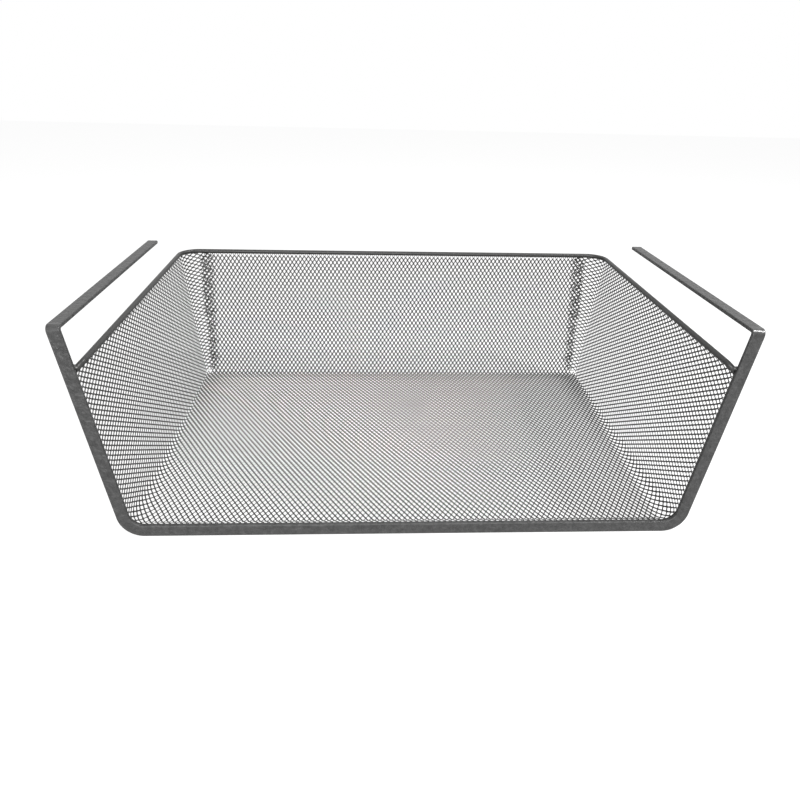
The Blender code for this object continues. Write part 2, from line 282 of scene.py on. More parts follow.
# %% One coat for each kind of piece
# The strip looks mottled. Its patches and its ripple are drawn about 3 mm across, and the
# ripple much deeper than it really is, so that both show.
strip_paint = powder_coat(
    "powder_coat_on_strip",
    "#2e2e2e",
    "#585858",
    roughness=0.46,
    ripple_mm=3.0,
    ripple_height_mm=1.2,
    patch_mm=3.4,
)
# The rod is drawn in darker greys than the strip: that darkness is painted shade.
# Its coat looks more even, with a long soft highlight that its ripple hardly breaks.
rod_paint = powder_coat(
    "powder_coat_on_rod",
    "#2a2a2a",
    "#3a3a39",
    roughness=0.38,
    ripple_mm=1.4,
    ripple_height_mm=0.15,
    patch_mm=2.6,
)
# On the narrow strands only the colour and a dull gloss can be seen.
mesh_paint = powder_coat(
    "powder_coat_on_mesh",
    "#303030",
    "#3e3e3d",
    roughness=0.40,
    ripple_mm=0.8,
    ripple_height_mm=0.01,
    patch_mm=9.0,
)
# On the beads the coat is drawn smoother, and its lighter greys are painted highlight.
weld_paint = powder_coat(
    "powder_coat_on_welds",
    "#484847",
    "#5c5c5a",
    roughness=0.24,
    ripple_mm=0.6,
    ripple_height_mm=0.02,
    patch_mm=3.0,
)
print("coats:", [coat.name for coat in (strip_paint, rod_paint, mesh_paint, weld_paint)])

# %% [markdown]
# ## Smoother paint on the top bends
#
# Where the uprights turn into the arms, the outside of the bend catches the light in one bright
# thin line. A rippled coat would scatter that line. So the strip's coat is drawn without its
# ripple there, and a little glossier, as if many hands had rubbed it. A place counts as part of
# a bend when it is both high enough and close enough to the front, and both limits are soft.


# %% Rubbed bends
BEND_HEIGHTS = (0.140, 0.142)  # metres; the coat turns smooth between these two heights
BEND_DEPTHS = (0.007, 0.004)  # metres; and between these two depths behind the front face


def rub_bends(material, bend_roughness):
    """rubbed = share of the height * share of the depth.

    The roughness is mixed by rubbed, and the ripple's strength is 1 - rubbed.
    """
    tree = material.node_tree
    shader = tree.nodes["Principled BSDF"]
    place = add_node(tree, "ShaderNodeTexCoord").outputs["Object"]
    parts = add_node(tree, "ShaderNodeSeparateXYZ", {"Vector": place})
    front = FRONT_Y * 0.001
    high = add_node(
        tree,
        "ShaderNodeMapRange",
        {
            "Value": parts.outputs["Z"],
            "From Min": BEND_HEIGHTS[0],
            "From Max": BEND_HEIGHTS[1],
        },
    )
    ahead = add_node(
        tree,
        "ShaderNodeMapRange",
        {
            "Value": parts.outputs["Y"],
            "From Min": front + BEND_DEPTHS[0],
            "From Max": front + BEND_DEPTHS[1],
        },
    )
    rubbed = add_node(
        tree, "ShaderNodeMath", {0: high.outputs[0], 1: ahead.outputs[0]}, operation="MULTIPLY"
    )
    coat_roughness = shader.inputs["Roughness"].links[0].from_socket
    gloss = add_node(
        tree, "ShaderNodeMix", {0: rubbed.outputs[0], 2: coat_roughness, 3: bend_roughness}
    )
    tree.links.new(gloss.outputs[0], shader.inputs["Roughness"])
    kept = add_node(tree, "ShaderNodeMath", {0: 1.0, 1: rubbed.outputs[0]}, operation="SUBTRACT")
    ripple_bump = shader.inputs["Normal"].links[0].from_node
    tree.links.new(kept.outputs[0], ripple_bump.inputs["Strength"])
    print(material.name, "is smooth above", BEND_HEIGHTS[1], "m")


rub_bends(strip_paint, bend_roughness=0.30)


# %% [markdown]
# ## The hanger frame
#
# One flat strip of steel makes both arms, both uprights and the bottom bar. It is bent on its
# edge at the two lower corners and over its flat side where the uprights become arms. Such a
# part is a profile carried along a path: the profile is a rectangle with rounded edges, and each
# station of the path says where its middle is and which way its width and its face point.
# The cut ends are rounded a little, as the paint leaves them.


# %% Carry a profile along a path
ARM_END_BACK = np.array([0.45, 0.12, 0.0])  # the last stations stop this far short of the cut end
ARM_END_IN = (0.0, 0.12, 0.4)  # and are drawn in by this much there, which rounds the end


def rounded_rectangle(width, thickness, radius, steps):
    """Four quarter circles, one per corner: centre + radius times (cos, sin) of the angle."""
    angle = np.radians(np.linspace(0, 90, steps + 1)[None, :] + 90 * np.arange(4)[:, None])
    side = np.array([1, -1, -1, 1])[:, None] * (width / 2 - radius)
    face = np.array([1, 1, -1, -1])[:, None] * (thickness / 2 - radius)
    outline = [side + radius * np.cos(angle), face + radius * np.sin(angle)]
    return np.stack(outline, axis=-1).reshape(-1, 2)


def carry(profile, middle, across, facing, drawn_in=None):
    """Point (i, j) = middle i + across i times s j + facing i times t j.

    drawn_in shrinks the profile of each station by a length on every side.
    """
    half = np.abs(profile).max(axis=0)
    drawn_in = np.zeros(len(middle)) if drawn_in is None else drawn_in
    shrink = 1 - drawn_in[:, None] / half[None, :]
    s = profile[None, :, 0] * shrink[:, 0:1]
    t = profile[None, :, 1] * shrink[:, 1:2]
    points = middle[:, None] + across[:, None] * s[..., None] + facing[:, None] * t[..., None]
    return points.reshape(-1, 3)


def strip_path(corner_steps, bend_steps):
    """Right half of the strip: arc on edge, straight upright, bend over the flat, straight arm.

    On the lower corner the middle is the arc's centre + (radius - half the width) times the
    outward direction. On the bend it is start + backward * r * (1 - cos) + upward * r * sin.
    """
    forward = np.array([0.0, -1.0, 0.0])
    angle = np.linspace(0, math.radians(90) - LEAN, corner_steps + 1)
    outward = np.stack([np.sin(angle), 0 * angle, -np.cos(angle)], axis=1)
    corner_x = upright_x(STRIP_CORNER_RADIUS, STRIP_CORNER_RADIUS)
    corner = np.array([corner_x, STRIP_THICKNESS / 2, STRIP_CORNER_RADIUS])
    low = corner + outward * (STRIP_CORNER_RADIUS - STRIP_WIDTH / 2)

    reach = ARM_BEND_RADIUS + STRIP_THICKNESS / 2
    start_z = FRAME_HEIGHT - STRIP_THICKNESS / 2 - reach * math.cos(LEAN)
    start = np.array([upright_x(start_z, STRIP_WIDTH / 2), STRIP_THICKNESS / 2, start_z])
    rise = np.array([math.sin(LEAN), 0.0, math.cos(LEAN)])
    turn = np.linspace(0, math.radians(90), bend_steps + 1)
    roll = LEAN * (1 - turn / math.radians(90))
    backward_part = forward * (reach * (1 - np.cos(turn)))[:, None]
    bend = start - backward_part + rise * (reach * np.sin(turn))[:, None]
    level = np.stack([np.cos(roll), 0 * roll, -np.sin(roll)], axis=1)
    top = np.stack([np.sin(roll), 0 * roll, np.cos(roll)], axis=1)
    face = forward * np.cos(turn)[:, None] + top * np.sin(turn)[:, None]

    ends = np.repeat(bend[-1:], 3, axis=0)
    ends[:, 1] = ARM_LENGTH - ARM_END_BACK
    middle = np.concatenate([low, bend, ends])
    across = np.concatenate([outward, level, np.repeat(level[-1:], 3, axis=0)])
    low_face = np.repeat(forward[None], len(low), axis=0)
    facing = np.concatenate([low_face, face, np.repeat(face[-1:], 3, axis=0)])
    drawn_in = np.zeros(len(middle))
    drawn_in[-3:] = ARM_END_IN
    return middle, across, facing, drawn_in


# %% Build the strip
def mirrored_run(middle, across, facing, drawn_in):
    """The stations from the right end to the middle, then their mirror images to the left end."""
    flip = np.array([-1.0, 1.0, 1.0])
    runs = [np.concatenate([run[::-1], run * flip]) for run in (middle, across, facing)]
    return (*runs, np.concatenate([drawn_in[::-1], drawn_in]))


strip_run = mirrored_run(*strip_path(corner_steps=24, bend_steps=14))
strip_profile = rounded_rectangle(STRIP_WIDTH, STRIP_THICKNESS, STRIP_EDGE_RADIUS, steps=4)
strip_points = carry(strip_profile, *strip_run)
around = len(strip_profile)
last = len(strip_run[0]) - 1
end_caps = np.array([np.arange(around)[::-1], last * around + np.arange(around)])
strip_faces = [grid_quads(last + 1, around), end_caps]
strip = add_piece("hanger_strip", strip_points, strip_faces, strip_paint)

# %% Keep the flats of the strip flat to the eye
# Weighted normals let the large flats set the shading, so only the edges look round.
even_flats = strip.modifiers.new("Even flats", "WEIGHTED_NORMAL")
even_flats.weight = 100
even_flats.keep_sharp = True
print("shading of", strip.name, "is weighted by the size of its faces")


# %% [markdown]
# ## The border rod
#
# A round rod, bent into one closed loop, carries the edge of the mesh: it is the rim at the
# sides and the back, and at the front it dives behind the strip and runs round the opening.
# A loop like this is bent on a wire bender, one corner after another, and butt-welded. Here it
# is a circle carried along straight runs and arcs. The circle needs a direction that never
# flips along the way, and "away from the middle of the tray" is one.


# %% A closed path with rounded corners
def rounded_loop(corners, radii, steps):
    """Each corner becomes an arc from first to last, seen from the arc's centre.

    Its points are centre + (first * sin((1 - s) * a) + last * sin(s * a)) / sin(a), where a is
    the angle between first and last and s runs from 0 to 1.
    """
    arriving = np.roll(corners, 1, axis=0) - corners
    leaving = np.roll(corners, -1, axis=0) - corners
    arriving /= np.linalg.norm(arriving, axis=1, keepdims=True)
    leaving /= np.linalg.norm(leaving, axis=1, keepdims=True)
    half = np.arccos((arriving * leaving).sum(axis=1)) / 2
    bisector = arriving + leaving
    bisector /= np.linalg.norm(bisector, axis=1, keepdims=True)
    centre = corners + bisector * (radii / np.sin(half))[:, None]
    first = corners + arriving * (radii / np.tan(half))[:, None] - centre
    last = corners + leaving * (radii / np.tan(half))[:, None] - centre
    angle = (np.pi - 2 * half)[:, None, None]
    share = np.linspace(0, 1, steps + 1)[None, :, None]
    arcs = first[:, None] * np.sin((1 - share) * angle) + last[:, None] * np.sin(share * angle)
    return (centre[:, None] + arcs / np.sin(angle)).reshape(-1, 3)


def away_from(middle, inside):
    """Across = the direction away from an inside point with its share along the path removed."""
    ahead = np.roll(middle, -1, axis=0) - np.roll(middle, 1, axis=0)
    along = ahead / np.linalg.norm(ahead, axis=1, keepdims=True)
    across = middle - inside
    across -= along * (across * along).sum(axis=1, keepdims=True)
    across /= np.linalg.norm(across, axis=1, keepdims=True)
    return across, np.cross(along, across)


# %% Build the rod
TUCK_Z = RIM_Z - ROD_TUCK_DROP
TRAY_MIDDLE = np.array([0.0, 130.0, 60.0])
ROD_SIDES = 20
right_corners = np.array(
    [
        [upright_x(FLOOR_Z, ROD_INSET), ROD_Y, FLOOR_Z],
        [upright_x(TUCK_Z, ROD_INSET), ROD_Y, TUCK_Z],
        [side_x(ROD_Y, RIM_Z), ROD_Y, RIM_Z],
        [side_x(RIM_BACK_Y, RIM_Z), RIM_BACK_Y, RIM_Z],
    ]
)
corner_radii = np.array(
    [STRIP_CORNER_RADIUS - ROD_INSET, ROD_TUCK_RADIUS, ROD_TURN_RADIUS, RIM_CORNER_RADIUS]
)
loop_corners = np.concatenate([right_corners, right_corners[::-1] * [-1, 1, 1]])
loop_radii = np.concatenate([corner_radii, corner_radii[::-1]])
rod_middle = rounded_loop(loop_corners, loop_radii, steps=16)
rod_across, rod_facing = away_from(rod_middle, TRAY_MIDDLE)
turns = np.radians(np.arange(ROD_SIDES) * 360 / ROD_SIDES)
rod_profile = ROD_RADIUS * np.stack([np.cos(turns), np.sin(turns)], axis=1)
rod_points = carry(rod_profile, rod_middle, rod_across, rod_facing)
rod_faces = [grid_quads(len(rod_middle), len(rod_profile), close_rows=True)]
rod = add_piece("border_rod_loop", rod_points, rod_faces, rod_paint)
rod_steps = np.linalg.norm(rod_middle - np.roll(rod_middle, 1, axis=0), axis=1)
print("rod length", round(rod_steps.sum()), "mm")


# %% [markdown]
# ## The welds
#
# Short beads of weld join the rod to the back of the strip: three along the bar, one halfway up
# each upright, and one in the notch where each rim dives behind the strip. Weld metal cools in
# ripples, so each bead is a stretched ball whose girth swells and shrinks along its length. It
# is made as rings between two poles and sits where the CAD model has its plain bead.


# %% Build the beads
BAR_BEAD = (10.0, 1.8, 1.8)  # length and the two girths, on the bar and on the uprights
NOTCH_BEAD = (6.4, 3.6, 3.0)  # the same for the beads in the notches under the rims
NOTCH_FALL = -0.25  # both notch beads fall by this slope towards the right
NOTCH_SEAT = (-0.4, -1.1, -1.9)  # inwards, forwards and down from the middle of the CAD bead


def bead_surface(centre, size, axis, rings=22, sides=16, ripples=7, ripple_share=0.07, lag=0.12):
    """Rings between two poles, with a going from 0 at the first pole to pi at the last.

    A ring lies at -cos(a) + lag * cos(turn) * sin(a) ** 2 along the axis, so it lags behind on
    one side. Its girth is sin(a) * (1 + share * cos(ripples * 2 * a)) / (1 + share).
    """
    axis = axis / np.linalg.norm(axis)
    across = np.array([0.0, 1.0, 0.0])
    facing = np.cross(axis, across)
    a = np.pi * np.arange(1, rings)[:, None] / rings
    turn = 2 * np.pi * np.arange(sides)[None, :] / sides
    girth = np.sin(a) * (1 + ripple_share * np.cos(ripples * 2 * a)) / (1 + ripple_share)
    lagging = lag * np.cos(turn) * np.sin(a)
    along = (-np.cos(a) + lagging * np.sin(a))[..., None] * axis * size[0] / 2
    wide = (girth * np.cos(turn))[..., None] * across * size[1] / 2
    high = (girth * np.sin(turn))[..., None] * facing * size[2] / 2
    poles = centre + axis * np.array([[-size[0] / 2], [size[0] / 2]])
    points = np.concatenate([(centre + along + wide + high).reshape(-1, 3), poles])
    c = np.arange(sides)
    after = (c + 1) % sides
    count = (rings - 1) * sides
    start_fan = np.stack([np.full(sides, count), after, c], axis=1)
    last_ring = count - sides
    end_fan = np.stack([np.full(sides, count + 1), c + last_ring, after + last_ring], axis=1)
    return points, [grid_quads(rings - 1, sides), np.concatenate([start_fan, end_fan])]


def add_bead(node, size, axis, seat=(0.0, 0.0, 0.0)):
    """Put a bead in the middle of its CAD node's box, moved by its seat, to stand for that node."""
    low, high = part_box(node)
    centre = np.array((low + high) / 2) * 1000 - [0.0, FRONT_Y, 0.0] + seat
    points, faces = bead_surface(centre, size, np.array(axis))
    bead = add_piece(node + "_bead", points, faces, weld_paint)
    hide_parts(node)
    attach(bead, "root")


for number in (1, 2, 3):
    add_bead(f"weld_bar_{number}", BAR_BEAD, (1.0, 0.0, 0.0))
for side_name, sign in (("left", -1.0), ("right", 1.0)):
    up_the_upright = (sign * math.sin(LEAN), 0.0, math.cos(LEAN))
    add_bead(f"weld_upright_{side_name}", BAR_BEAD, up_the_upright)
    seat = (NOTCH_SEAT[0] * sign, NOTCH_SEAT[1], NOTCH_SEAT[2])
    add_bead(f"weld_rim_{side_name}", NOTCH_BEAD, (sign, 0.0, NOTCH_FALL * sign), seat)

# %% Let the strip and the rod stand for their CAD nodes
for piece, node, slot in ((strip, "hanger_frame", "frame_paint"), (rod, "border_rod", "rod_paint")):
    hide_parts(node)
    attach(piece, "root")
    print(piece.name, "stands for", node)

# %% [markdown]
# ## The mesh
#
# The tray is folded from one blank of expanded metal: a sheet that is slit in rows and pulled,
# so that the slits open into diamonds and every strand between them twists a little out of the
# sheet's plane. That twist helps to make one wall of the tray look denser than the other, and
# it gives this mesh its two unlike sets of lines.
#
# The blank has two coordinates: u runs across it and v from front to back. A diamond is
# 2 * HALF_SHORT wide along u and 2 * HALF_LONG long along v. One function folds the floor and
# the sides and another one stands the back wall up. Since the diamonds are laid out on the
# blank before it is folded, they run on over each fold without a seam, as on the real tray.

# %% The blank's lattice
HALF_SHORT = 1.9
FLOOR_ROWS = 77  # half diamonds from the front edge of the hem to the back fold
BACK_ROWS = 41  # half diamonds from the back fold up to the rim
BACK_STOP = 0.6  # the sheet of the back wall ends this far below the middle of the rim
WALL_SHARE = 0.96  # the side walls' diamonds are shortened by this factor up the wall
SHEET_THICKNESS = 0.30
TIP_HALF_WIDTH = 0.16  # half the blunt end of an opening
TIP_SHORTENING = 0.40  # how much the bond between two strands shortens an opening
SIDE_HALF_LENGTH = 0.45  # half the blunt side of an opening, along the bond
HEM_REACH = 2.2  # middle of the rod to the middle of the sheet wrapped over it
HEM_FRONT = math.radians(35)  # the wrapped sheet ends this far above straight forward
RAMP_END = 10.5  # the floor has come down to its level here
WARP_END = 240.0  # up to this depth the side walls ease away from the line of the uprights
FRONT_FOLD_RADIUS = 9.5
BACK_FOLD_RADIUS = 1.0
FOLD_ANGLE = math.radians(90) - math.atan(SIDE_SLOPE)
ON_WALL = 0.3  # a point that has turned by more than this share of the fold is on the wall
RAKE = math.atan(BACK_RAKE / WALL_RISE)
DRIFT = 0.224  # slope of the mesh rows on the laps, because the sides lean out
print("the side folds turn by", round(math.degrees(FOLD_ANGLE), 1), "degrees")


# %% The way of the floor over the rod, as a table
def hem_table(arc_steps=24, ramp_steps=60):
    """Arc over the rod, then a cosine ramp down to the floor; v counts the way travelled.

    On the arc, y = rod - reach * cos(t) and the sheet drops by reach * (1 - sin(t)) from the
    rod's top. On the ramp the lift is reach * (1 + cos(pi * share)) / 2.
    """
    t = np.linspace(HEM_FRONT, math.radians(90), arc_steps)
    share = np.linspace(0, 1, ramp_steps)[1:]
    y = np.concatenate([ROD_Y - HEM_REACH * np.cos(t), ROD_Y + (RAMP_END - ROD_Y) * share])
    lift = np.concatenate([np.full(len(t), HEM_REACH), HEM_REACH * (1 + np.cos(np.pi * share)) / 2])
    drop = np.concatenate([HEM_REACH * (1 - np.sin(t)), 0 * share])
    way = np.concatenate([[0.0], np.cumsum(np.hypot(np.diff(y), np.diff(lift - drop)))])
    return way - way[-1] + RAMP_END, y, lift, drop


hem_v, hem_y, hem_lift, hem_drop = hem_table()
FIRST_V = hem_v[0]
HALF_LONG = (FLOOR_DEPTH - FIRST_V) / FLOOR_ROWS
BACK_SHARE = (WALL_RISE - BACK_STOP) / math.cos(RAKE) / BACK_ROWS / HALF_LONG
strand_offset = HALF_SHORT * HALF_LONG / math.hypot(HALF_SHORT, HALF_LONG)
print("a diamond is", 2 * HALF_SHORT, "by", round(2 * HALF_LONG, 2), "mm")
print("up the back wall its length is times", round(BACK_SHARE, 2))
print("strands lie", round(2 * strand_offset, 2), "mm apart")


# %% Fold the floor and the sides
def corner_radius(z):
    """Radius of a back corner = the floor's radius, growing evenly to the rim's radius."""
    growth = RIM_CORNER_RADIUS - FLOOR_CORNER_RADIUS
    return FLOOR_CORNER_RADIUS + growth * (z - FLOOR_Z) / WALL_RISE


def fold_sizes(y):
    """Where the flat floor ends at a depth y, and the radius of the fold that follows.

    The flat ends at the fold's place - radius * tan(half the turn).
    """
    share = np.clip((y - ROD_Y) / (FLOOR_DEPTH - ROD_Y), 0, 1)
    radius = FRONT_FOLD_RADIUS + (BACK_FOLD_RADIUS - FRONT_FOLD_RADIUS) * share
    return side_x(y, FLOOR_Z) - radius * math.tan(FOLD_ANGLE / 2), radius


def rod_edge_x(z):
    """x of the sheet against the rod: beside the upright, then in a straight line to the rim."""
    beside = upright_x(np.minimum(z, TUCK_Z), ROD_INSET) - HEM_REACH
    above = np.clip((z - TUCK_Z) / ROD_TUCK_DROP, 0, 1)
    return beside + (SIDE_HIGH - beside) * above


def folded(u, v):
    """Across: flat floor, arc of the fold, straight wall. Along: hem, ramp, straight, corner.

    A back corner turns the wall by the way past its start over its radius, up to a quarter
    turn. What is left of the way is the lap behind the back wall, and its length comes second.
    """
    sign = np.where(u < 0, -1.0, 1.0)
    y = np.where(v < RAMP_END, np.interp(v, hem_v, hem_y), v)
    lift = np.where(v < RAMP_END, np.interp(v, hem_v, hem_lift), 0.0)
    drop = np.where(v < RAMP_END, np.interp(v, hem_v, hem_drop), 0.0)
    flat, radius = fold_sizes(y)
    turn = np.clip((np.abs(u) - flat) / radius, 0, FOLD_ANGLE)
    up = np.maximum(np.abs(u) - flat - radius * FOLD_ANGLE, 0) * WALL_SHARE
    x = np.minimum(np.abs(u), flat) + radius * np.sin(turn) + up * math.cos(FOLD_ANGLE)
    z = FLOOR_Z + radius * (1 - np.cos(turn)) + up * math.sin(FOLD_ANGLE)
    on_wall = turn / FOLD_ANGLE
    inward = lift * (1 - on_wall) - drop
    near_front = np.clip((WARP_END - y) / (WARP_END - ROD_Y), 0, 1)
    x = x + on_wall * near_front * (rod_edge_x(z) - side_x(ROD_Y, z)) - np.sin(turn) * inward
    z = z + np.cos(turn) * inward
    return turned_corner(sign, x, y, z, on_wall)


def turned_corner(sign, x, y, z, on_wall):
    """Past the corner's start c: x = wall - r + r * cos(t) - lap, y = c + r * sin(t).

    The rows of mesh climb by DRIFT times the way, an effect that grows evenly through the turn.
    The radius r depends on the height reached, so the height is worked out three times.
    """
    start = back_y(z) + LAP_STEP - corner_radius(z)
    past = np.where(on_wall > ON_WALL, np.maximum(y - start, 0), 0)
    raised = z
    for _ in range(3):
        r = corner_radius(raised)
        t = np.minimum(past / r, math.pi / 2)
        lap = past - r * t
        raised = z + DRIFT * (r * t * t / math.pi + lap)
    c = back_y(raised) + LAP_STEP - r
    beyond = past > 0
    bent_x = side_x(c, raised) - r + r * np.cos(t) - lap
    return np.stack(
        [
            sign * np.where(beyond, bent_x, x),
            np.where(beyond, c + r * np.sin(t), y),
            np.where(beyond, raised, z),
        ],
        axis=-1,
    ), lap


def stood_up(u, v):
    """Back wall: beyond the floor's depth, y and z grow by the sine and cosine of the rake."""
    past = (v - FLOOR_DEPTH) * BACK_SHARE
    y = FLOOR_DEPTH + past * math.sin(RAKE)
    return np.stack([u, y, FLOOR_Z + past * math.cos(RAKE)], axis=-1)


def floor_and_back(u, v):
    """The floor as folded, and its last row of strands already standing up."""
    return np.where((v > FLOOR_DEPTH)[..., None], stood_up(u, v), folded(u, v)[0])


def folded_place(u, v):
    """The folded sheet's points without the length of the lap."""
    return folded(u, v)[0]


# %% [markdown]
# ## Cutting the blank
#
# Every second point of the lattice is the middle of an opening. Here each opening is given to
# one piece: a half of the floor, the hem, the back wall, a side wall or a lap. An opening that
# would lie beyond the rod is left out, as the real sheet is trimmed along it.

# %% Find the middle of every opening
BLANK_HALF = 315  # the blank is laid out this far to either side, more than any wall needs
TOP_TRIM = 0.98  # no opening's middle comes closer than this to the height of the rim's middle
TURN_TRIM = 0.5  # nor closer than this to the rod's middle where the rim turns down
LAP_TRIM = 1.5  # a lap's last openings keep this far from its end
LAP_START = 0.5  # a lap's piece starts this far into the corner
HEM_END = 8.5  # the hem's piece ends here along v
HEM_HALF = 172.7  # and this far to either side
half_columns = int(round(BLANK_HALF / HALF_SHORT))
half_rows = FLOOR_ROWS + BACK_ROWS
columns_across = np.arange(-half_columns, half_columns + 1)
i_grid, j_grid = np.meshgrid(columns_across, np.arange(half_rows + 1), indexing="ij")
tile_here = (i_grid + j_grid) % 2 == 1
tile_here &= (j_grid > 0) & (j_grid < half_rows)
u_grid = i_grid * HALF_SHORT
v_grid = FIRST_V + j_grid * HALF_LONG
tile_place, tile_lap = folded(u_grid, v_grid)
tile_y, tile_z = tile_place[..., 1], tile_place[..., 2]
flat_end, fold_radius = fold_sizes(v_grid)
fold_middle = flat_end + fold_radius * FOLD_ANGLE / 2
fold_end = flat_end + fold_radius * FOLD_ANGLE
beyond_fold = np.abs(u_grid) > fold_middle
print("openings on the blank:", int(tile_here.sum()))

# %% Give each opening to a piece
in_turn = (tile_y < ROD_Y + ROD_TURN_RADIUS) & (tile_z > RIM_Z - ROD_TURN_RADIUS)
to_turn = np.hypot(tile_y - ROD_Y - ROD_TURN_RADIUS, tile_z - RIM_Z + ROD_TURN_RADIUS)
in_turn &= to_turn > ROD_TURN_RADIUS - TURN_TRIM
lap_growth = LAP_WIDTH_RIM - LAP_WIDTH_FLOOR
lap_width = LAP_WIDTH_FLOOR + lap_growth * (tile_z - FLOOR_Z) / WALL_RISE
on_side = tile_here & beyond_fold & ~in_turn
on_side &= (tile_z < RIM_Z - TOP_TRIM) & (tile_lap < lap_width - LAP_TRIM)
corner_start = back_y(tile_z) + LAP_STEP - corner_radius(tile_z)
clear_of_fold = np.abs(u_grid) > fold_end + HALF_SHORT
on_side &= clear_of_fold | (v_grid < corner_start)  # a corner turns only what stands on the wall
on_lap = on_side & (tile_y > corner_start + LAP_START)
on_walls = on_side & ~on_lap
on_floor = tile_here & ~beyond_fold & (v_grid <= FLOOR_DEPTH)
on_hem = on_floor & (v_grid < HEM_END) & (np.abs(u_grid) < HEM_HALF)
on_open_floor = on_floor & ~on_hem
back_z = FLOOR_Z + (v_grid - FLOOR_DEPTH) * BACK_SHARE * math.cos(RAKE)
back_half = side_x(back_y(back_z), back_z) - corner_radius(back_z)
on_back = tile_here & (v_grid > FLOOR_DEPTH) & (np.abs(u_grid) < back_half)
left, right = i_grid < 0, i_grid > 0
print("openings on the side walls:", int(on_walls.sum()), "on the laps:", int(on_lap.sum()))

# %% [markdown]
# ## How wide the strands are, and how far they twist
#
# The same blank looks open on one wall and dense on another, because each wall is seen at its
# own slant. What the slant doesn't explain was matched panel by panel: the width of the
# strands, and their rise, which is how far their two edges stand out of the sheet, one up and
# one down. The floor also looks darker towards its far edge and its far corners, so its strands
# are drawn wider there.

# %% Widths and rises of the strands, in millimetres
FLOOR_WIDTH = 0.66  # at the front
WIDER_AT_BACK = 0.16  # this much more at the far edge
WIDER_AT_FOLDS = 0.50  # and this much more again beside the far folds
SIDE_FOLD_REACH = 16  # the widening fades within about this distance of a side fold
BACK_FOLD_REACH = 10  # and of the back fold
BACK_FOLD_PULL = 0.7  # the back fold widens the strands less than the side folds
HEM_WIDTH = 0.78
BACK_WIDTH = 0.88
LEFT_WIDTH = 0.80
RIGHT_WIDTH = 0.87
LAP_WIDTH = 0.80
FLOOR_RISE = 0.12
HEM_RISE = 0.05
BACK_RISE = -0.09
LEFT_RISE = -0.02
RIGHT_RISE = 0.11
side_pull = np.exp(-(((fold_middle - np.abs(u_grid)) / SIDE_FOLD_REACH) ** 2))
back_pull = BACK_FOLD_PULL * np.exp(-(((FLOOR_DEPTH - v_grid) / BACK_FOLD_REACH) ** 2))
near_fold = np.clip(side_pull + back_pull, 0, 1)
depth_share = np.clip(v_grid / FLOOR_DEPTH, 0, 1)
floor_width = FLOOR_WIDTH + depth_share**2 * (WIDER_AT_BACK + WIDER_AT_FOLDS * near_fold)
print("floor strands are up to", round(floor_width[on_floor].max(), 2), "mm wide")

# %% The pieces: openings, CAD node, way of folding, width and rise
floor_style = ("mesh_floor", floor_and_back, floor_width, FLOOR_RISE)
mesh_cuts = {
    "mesh_floor_left": (on_open_floor & left, *floor_style),
    "mesh_floor_right": (on_open_floor & ~left, *floor_style),
    "mesh_hem": (on_hem, "front_hem", floor_and_back, HEM_WIDTH, HEM_RISE),
    "mesh_back": (on_back, "mesh_back_wall", stood_up, BACK_WIDTH, BACK_RISE),
    "mesh_side_left": (on_walls & left, "mesh_left_wall", folded_place, LEFT_WIDTH, LEFT_RISE),
    "mesh_side_right": (on_walls & right, "mesh_right_wall", folded_place, RIGHT_WIDTH, RIGHT_RISE),
    "mesh_lap_left": (on_lap & left, "corner_lap_left", folded_place, LAP_WIDTH, LEFT_RISE),
    "mesh_lap_right": (on_lap & right, "corner_lap_right", folded_place, LAP_WIDTH, RIGHT_RISE),
}
print("diamonds:", {name: int(cut[0].sum()) for name, cut in mesh_cuts.items()})


# %% [markdown]
# ## The strands
#
# Each opening has four knots at its outer corners, which it shares with its neighbours, and a
# ring of eight points half a strand further in. The metal between the knots and the ring is
# one half of each of its four strands. So every piece needs only the knots, the rings and the
# faces between them, once for the upper side of the sheet and once for the lower side.


# %% A point above or below the folded sheet
def on_sheet(surface, u, v, height):
    """Surface point + height * normal, the normal being (dS/du) x (dS/dv) made one long."""
    step = 0.05
    du = surface(u + step, v) - surface(u - step, v)
    dv = surface(u, v + step) - surface(u, v - step)
    normal = np.cross(du, dv)
    normal /= np.linalg.norm(normal, axis=-1, keepdims=True)
    return surface(u, v) + normal * np.asarray(height)[..., None]


# %% Knots and rings
def shared_knots(inside):
    """The knots' u and v, each knot once, and the numbers of each opening's four knots."""
    steps = np.array([[-1, 0], [0, -1], [1, 0], [0, 1]])
    knot_i = i_grid[inside][:, None] + steps[:, 0]
    knot_j = j_grid[inside][:, None] + steps[:, 1]
    pairs = np.stack([knot_i.ravel(), knot_j.ravel()])
    keys, knot_of = np.unique(pairs, axis=1, return_inverse=True)
    return keys[0] * HALF_SHORT, FIRST_V + keys[1] * HALF_LONG, knot_of.reshape(-1, 4)


def blunt_rings(inside, width):
    """The eight points round each opening: the diamond, shrunk by half a strand, cut blunt.

    Its left and right sides lie a from the middle and are 2 * SIDE_HALF_LENGTH long. Its tips
    lie b from the middle and are 2 * TIP_HALF_WIDTH wide. The width is one number, or an array
    with a number for each point of the lattice.
    """
    own_width = np.broadcast_to(width, inside.shape)[inside][:, None]
    shrink = 1 - own_width / 2 / strand_offset
    a = HALF_SHORT * shrink - SIDE_HALF_LENGTH * HALF_SHORT / HALF_LONG
    b = HALF_LONG * shrink - TIP_SHORTENING
    ring_u = u_grid[inside][:, None] + a * np.array([-1, 0, 0, 1, 1, 0, 0, -1])
    ring_u = ring_u + TIP_HALF_WIDTH * np.array([0, -1, 1, 0, 0, 1, -1, 0])
    ring_v = v_grid[inside][:, None] + b * np.array([0, -1, -1, 0, 0, 1, 1, 0])
    ring_v = ring_v + SIDE_HALF_LENGTH * np.array([-1, 0, 0, -1, 1, 0, 0, 1])
    return ring_u, ring_v


